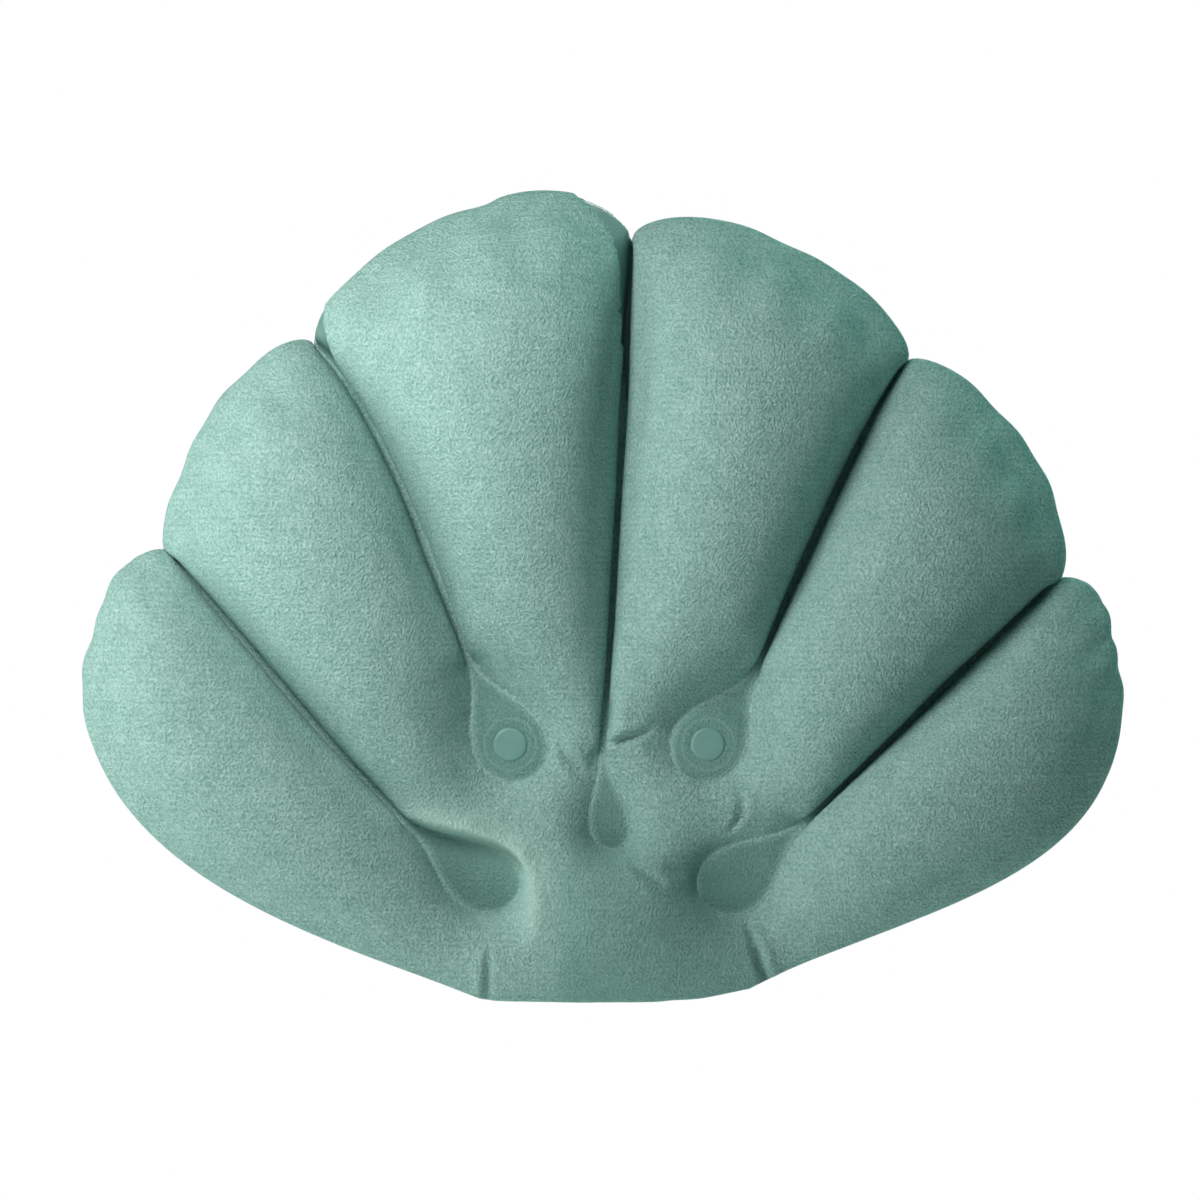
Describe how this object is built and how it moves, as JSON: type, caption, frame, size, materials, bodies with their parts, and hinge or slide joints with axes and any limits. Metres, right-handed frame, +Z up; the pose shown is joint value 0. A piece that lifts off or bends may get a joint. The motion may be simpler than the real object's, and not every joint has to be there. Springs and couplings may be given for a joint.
{
  "type": "bath pillow",
  "caption": "Inflatable scallop-shaped bath pillow: terry-faced vinyl welded into radial lobes, with suction cups and a plugged push-in air valve on its back.",
  "frame": {"origin": "midway between the two suction cups, on the wall that their rims touch", "axes": "+X right and +Z up as seen from the front, +Y back towards the wall; the terry face looks along -Y"},
  "size_m": [0.3975, 0.0736, 0.3066],
  "materials": {
    "terry": "short terry loops, pale teal",
    "vinyl": "smooth, satin gloss, teal",
    "soft_vinyl": "smooth soft moulding, pale teal"
  },
  "bodies": {
    "pillow": {"front_terry": "terry", "front_film": "vinyl", "back_film": "vinyl", "perimeter_weld": "vinyl", "left_outer_seam_weld": "vinyl", "left_inner_seam_weld": "vinyl", "centre_seam_weld": "vinyl", "right_inner_seam_weld": "vinyl", "right_outer_seam_weld": "vinyl", "valve_flange": "vinyl"},
    "left_cup": {"left_suction_cup": "soft_vinyl"},
    "right_cup": {"right_suction_cup": "soft_vinyl"},
    "stem": {"valve_stem": "soft_vinyl", "strap_collar": "soft_vinyl"},
    "plug": {"valve_plug": "soft_vinyl", "plug_strap": "soft_vinyl"},
    "flap": {"valve_flap": "vinyl"}
  },
  "joints": [
    {"name": "left_cup_turn", "type": "hinge", "parent": "pillow", "child": "left_cup", "pos_m": [-0.038, 0, 0], "axis": [0, 1, 0], "continuous": true},
    {"name": "right_cup_turn", "type": "hinge", "parent": "pillow", "child": "right_cup", "pos_m": [0.038, 0, 0], "axis": [0, 1, 0], "continuous": true},
    {"name": "stem_draw", "type": "slide", "parent": "pillow", "child": "stem", "axis": [0, 1, 0], "range_m": [0, 0.008]},
    {"name": "plug_swing", "type": "hinge", "parent": "stem", "child": "plug", "pos_m": [-0.002, -0.0104, -0.0595], "axis": [1, 0, 0], "range_deg": [0, 120]},
    {"name": "flap_swing", "type": "hinge", "parent": "stem", "child": "flap", "pos_m": [-0.002, -0.0278, -0.06405], "axis": [-1, 0, 0], "range_deg": [0, 45]}
  ]
}
